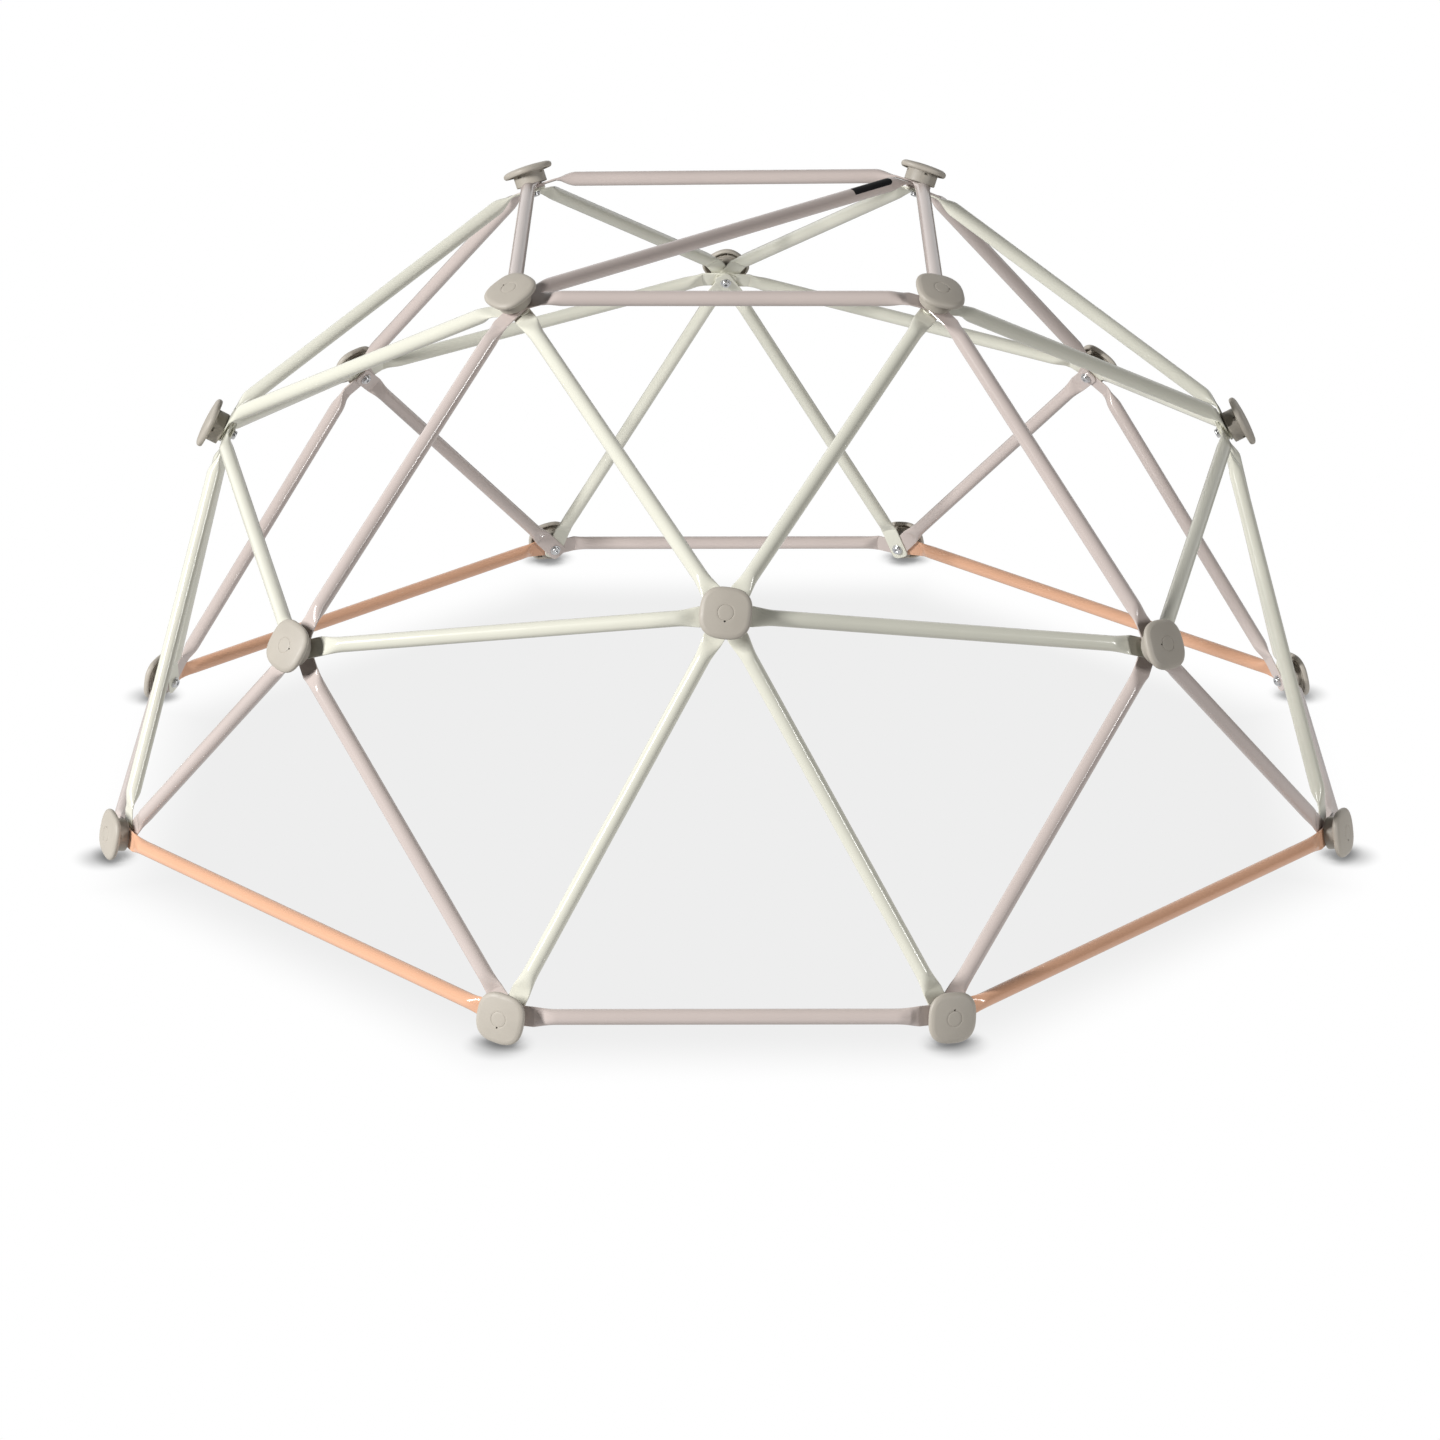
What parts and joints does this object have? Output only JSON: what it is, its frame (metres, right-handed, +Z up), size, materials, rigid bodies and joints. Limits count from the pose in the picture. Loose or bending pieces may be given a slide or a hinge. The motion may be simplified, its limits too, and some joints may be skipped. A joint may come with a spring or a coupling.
{
  "type": "dome climber",
  "caption": "Low geodesic climbing dome of flattened, powder-coated steel tubes bolted at capped hubs, open on every side, with one diagonal bar across its square top.",
  "frame": {"origin": "on the ground, under the middle of the dome", "axes": "+Z up, -Y towards the front side, +X to the right as seen from the front"},
  "size_m": [1.8908, 1.8908, 0.9062],
  "materials": {
    "cream_paint": "smooth semi-gloss powder coat",
    "mauve_paint": "smooth semi-gloss powder coat",
    "peach_paint": "smooth semi-gloss powder coat",
    "cap_plastic": "fine moulded texture",
    "cup_plastic": "fine moulded texture",
    "zinc_steel": "bright zinc plate",
    "label_film": "printed film"
  },
  "bodies": {
    "root": {"base_bar_back": "mauve_paint", "base_bar_front": "mauve_paint", "base_bar_left": "mauve_paint", "base_bar_right": "mauve_paint", "base_corner_back_left": "peach_paint", "base_corner_back_right": "peach_paint", "base_corner_front_left": "peach_paint", "base_corner_front_right": "peach_paint", "base_hub_caps": "cap_plastic", "base_hub_cups": "cup_plastic", "corner_leg_back_a": "mauve_paint", "corner_leg_back_b": "mauve_paint", "corner_leg_front_a": "mauve_paint", "corner_leg_front_b": "mauve_paint", "corner_leg_left_a": "mauve_paint", "corner_leg_left_b": "mauve_paint", "corner_leg_right_a": "mauve_paint", "corner_leg_right_b": "mauve_paint", "corner_strut_back_left": "mauve_paint", "corner_strut_back_right": "mauve_paint", "corner_strut_front_left": "mauve_paint", "corner_strut_front_right": "mauve_paint", "diagonal_label": "label_film", "hub_bolts": "zinc_steel", "hub_lock_nuts": "zinc_steel", "hub_washers": "zinc_steel", "middle_hub_caps": "cap_plastic", "middle_hub_cups": "cup_plastic", "ring_bar_back_a": "cream_paint", "ring_bar_back_b": "cream_paint", "ring_bar_front_a": "cream_paint", "ring_bar_front_b": "cream_paint", "ring_bar_left_a": "cream_paint", "ring_bar_left_b": "cream_paint", "ring_bar_right_a": "cream_paint", "ring_bar_right_b": "cream_paint", "side_leg_back_a": "cream_paint", "side_leg_back_b": "cream_paint", "side_leg_front_a": "cream_paint", "side_leg_front_b": "cream_paint", "side_leg_left_a": "cream_paint", "side_leg_left_b": "cream_paint", "side_leg_right_a": "cream_paint", "side_leg_right_b": "cream_paint", "top_bar_back": "mauve_paint", "top_bar_front": "mauve_paint", "top_bar_left": "mauve_paint", "top_bar_right": "mauve_paint", "top_diagonal": "mauve_paint", "top_hub_caps": "cap_plastic", "top_hub_cups": "cup_plastic", "upper_strut_back_a": "cream_paint", "upper_strut_back_b": "cream_paint", "upper_strut_front_a": "cream_paint", "upper_strut_front_b": "cream_paint", "upper_strut_left_a": "cream_paint", "upper_strut_left_b": "cream_paint", "upper_strut_right_a": "cream_paint", "upper_strut_right_b": "cream_paint"}
  },
  "joints": []
}
